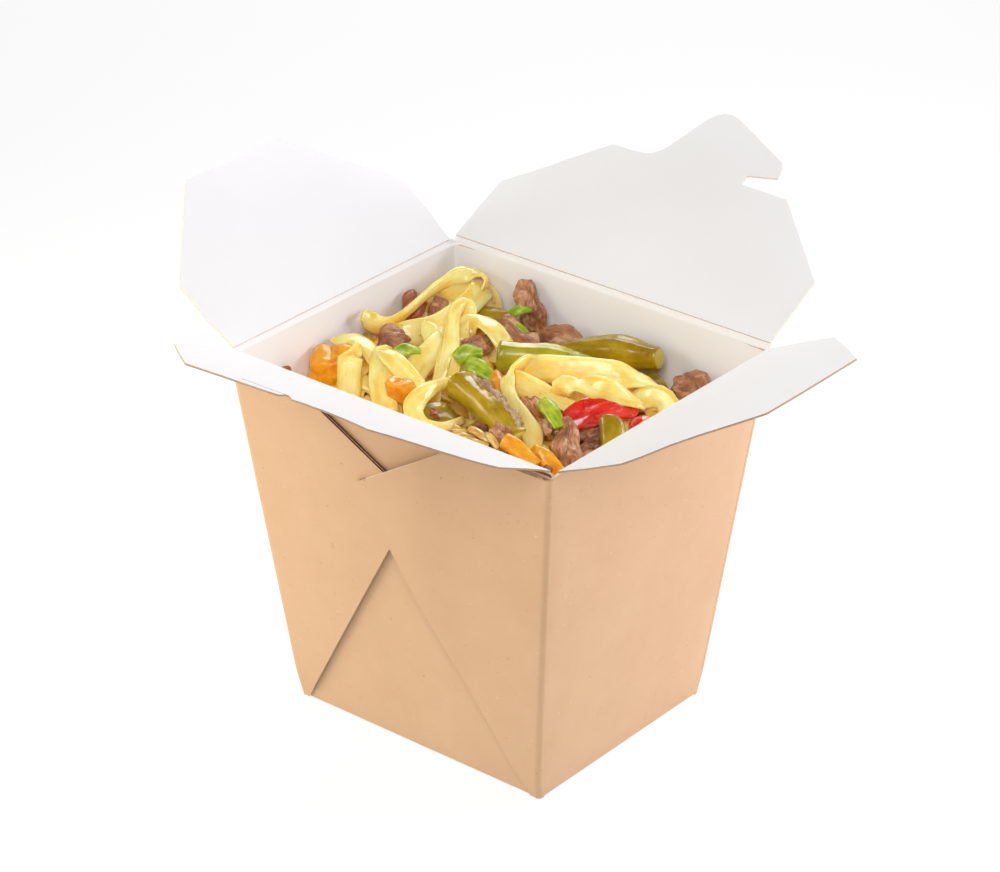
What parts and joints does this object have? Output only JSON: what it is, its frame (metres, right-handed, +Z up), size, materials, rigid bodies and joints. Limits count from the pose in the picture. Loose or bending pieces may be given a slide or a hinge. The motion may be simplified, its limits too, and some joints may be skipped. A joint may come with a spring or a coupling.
{
  "type": "noodle takeaway box",
  "caption": "Open tapered kraft board takeaway box with hinged top flaps, filled with flat noodles, beef strips and stir-fried vegetables.",
  "frame": {"origin": "middle of the underside of the box, on the surface it stands on", "axes": "+Z up out of the open top; X along the wide sides that carry the lapped web corners; -Y side carries the slot flap, +Y side the tab flap"},
  "size_m": [0.1846, 0.1831, 0.1298],
  "materials": {
    "kraft_board": "uncoated kraft paperboard outside, white coated inside",
    "noodle": "cooked flat egg noodle, moist and slightly translucent",
    "green_bean": "cooked green bean, oily skin",
    "beef": "stir-fried beef, moist fibrous surface",
    "carrot": "cooked carrot, wet",
    "red_pepper": "cooked red pepper, glossy skin"
  },
  "bodies": {
    "root": {"box_body": "kraft_board", "noodle_heap": "noodle", "bean_back": "green_bean", "bean_dark": "green_bean", "bean_diagonal": "green_bean", "bean_end": "green_bean", "bean_light": "green_bean", "bean_olive": "green_bean", "bean_tucked": "green_bean", "beef_back_end": "beef", "beef_back_strip": "beef", "beef_corner": "beef", "beef_fatty": "beef", "beef_glossy": "beef", "beef_left": "beef", "beef_low": "beef", "beef_middle": "beef", "beef_right": "beef", "beef_stub": "beef", "beef_tall": "beef", "beef_upright": "beef", "carrot_corner": "carrot", "carrot_front": "carrot", "carrot_large": "carrot", "carrot_near": "carrot", "carrot_stick": "carrot", "pepper_edge": "red_pepper", "pepper_red": "red_pepper"},
    "tab_flap": {"flap_tab": "kraft_board"},
    "slot_flap": {"flap_slot": "kraft_board"},
    "right_flap": {"flap_right": "kraft_board"},
    "left_flap": {"flap_left": "kraft_board"}
  },
  "joints": [
    {"name": "tab_flap_hinge", "type": "hinge", "parent": "root", "child": "tab_flap", "pos_m": [0, 0.0438, 0.1008], "axis": [1, 0, 0], "range_deg": [-72, 150.5]},
    {"name": "slot_flap_hinge", "type": "hinge", "parent": "root", "child": "slot_flap", "pos_m": [0, -0.0438, 0.1008], "axis": [-1, 0, 0], "range_deg": [-70.5, 154]},
    {"name": "right_flap_hinge", "type": "hinge", "parent": "root", "child": "right_flap", "pos_m": [0.0518, 0, 0.1], "axis": [0, -1, 0], "range_deg": [-95, 155]},
    {"name": "left_flap_hinge", "type": "hinge", "parent": "root", "child": "left_flap", "pos_m": [-0.0518, 0, 0.1], "axis": [0, 1, 0], "range_deg": [-105, 145]}
  ]
}
